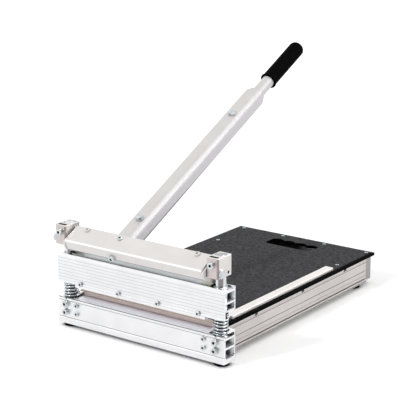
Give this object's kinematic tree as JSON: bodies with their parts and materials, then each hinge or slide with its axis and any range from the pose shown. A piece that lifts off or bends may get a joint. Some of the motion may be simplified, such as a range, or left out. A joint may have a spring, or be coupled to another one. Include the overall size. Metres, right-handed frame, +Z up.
{
  "type": "laminate cutter",
  "caption": "Bench shear for laminate planks: a long hinged handle turns two cams that press a sprung blade beam down two posts onto a decked base.",
  "frame": {"origin": "middle of the whole object's footprint, on the floor that its feet stand on, with the handle as in the picture", "axes": "+X right along the two beams as seen from the front, +Y back over the deck and towards the grip, +Z up"},
  "size_m": [0.4036, 0.6526, 0.4978],
  "materials": {
    "silver_aluminium": "satin anodised",
    "ground_steel": "ground",
    "bright_zinc": "bright zinc plated",
    "white_lacquer": "satin lacquer",
    "black_texture": "fine grained film on a pressed board",
    "black_rubber": "matte",
    "tan_laminate": "sawn edge of a pressed laminate"
  },
  "bodies": {
    "base": {"anvil_strip": "tan_laminate", "block_clamp_screw_left": "bright_zinc", "block_clamp_screw_right": "bright_zinc", "deck_board": "black_texture", "deck_screw_rear_left": "bright_zinc", "deck_screw_rear_mid_left": "bright_zinc", "deck_screw_rear_mid_right": "bright_zinc", "deck_screw_rear_right": "bright_zinc", "deck_screw_side_left": "bright_zinc", "deck_screw_side_right": "bright_zinc", "fence_bar": "silver_aluminium", "foot_front_left": "black_rubber", "foot_front_right": "black_rubber", "foot_rear_left": "black_rubber", "foot_rear_right": "black_rubber", "guide_post_left": "bright_zinc", "guide_post_right": "bright_zinc", "lower_beam": "silver_aluminium", "lower_plate": "ground_steel", "pivot_bolt_left": "bright_zinc", "pivot_bolt_right": "bright_zinc", "post_block_left": "silver_aluminium", "post_block_right": "silver_aluminium", "post_screw_left_lower": "bright_zinc", "post_screw_left_upper": "bright_zinc", "post_screw_right_lower": "bright_zinc", "post_screw_right_upper": "bright_zinc", "rail_screw_left_lower": "bright_zinc", "rail_screw_left_upper": "bright_zinc", "rail_screw_right_lower": "bright_zinc", "rail_screw_right_upper": "bright_zinc", "rear_rail": "silver_aluminium", "return_spring_left": "bright_zinc", "return_spring_right": "bright_zinc", "side_rail_left": "silver_aluminium", "side_rail_right": "silver_aluminium", "spring_washer_left": "bright_zinc", "spring_washer_right": "bright_zinc"},
    "carriage": {"upper_beam": "silver_aluminium", "blade": "ground_steel", "blade_holder": "silver_aluminium", "press_strip": "ground_steel", "guide_bush_left": "bright_zinc", "guide_bush_right": "bright_zinc", "blade_screw_1": "bright_zinc", "blade_screw_2": "bright_zinc", "blade_screw_3": "bright_zinc", "blade_screw_4": "bright_zinc"},
    "lever": {"lever_beam": "white_lacquer", "cam_left": "white_lacquer", "cam_right": "white_lacquer", "cam_screw_left": "bright_zinc", "cam_screw_right": "bright_zinc", "handle_arm": "white_lacquer", "handle_tube": "white_lacquer", "handle_grip": "black_rubber", "tube_bolt": "bright_zinc", "arm_screw": "bright_zinc", "arm_bolt_lower": "bright_zinc", "arm_bolt_upper": "bright_zinc"}
  },
  "joints": [
    {"name": "lever_pivot", "type": "hinge", "parent": "base", "child": "lever", "pos_m": [0.0018, -0.30334, 0.181], "axis": [1, 0, 0], "range_deg": [-34, 18], "stiffness_Nm_per_rad": 9.7, "springref_deg": 32.09},
    {"name": "carriage_slide", "type": "slide", "parent": "base", "child": "carriage", "axis": [0, 0, 1], "range_m": [-0.0132, 0.007], "stiffness_N_per_m": 1500, "springref_m": 0.0124, "deforming": ["return_spring_left", "return_spring_right"]}
  ],
  "couplings": [
    {"joint": "carriage_slide", "follows": "lever_pivot", "m_per_rad": 0.022}
  ]
}
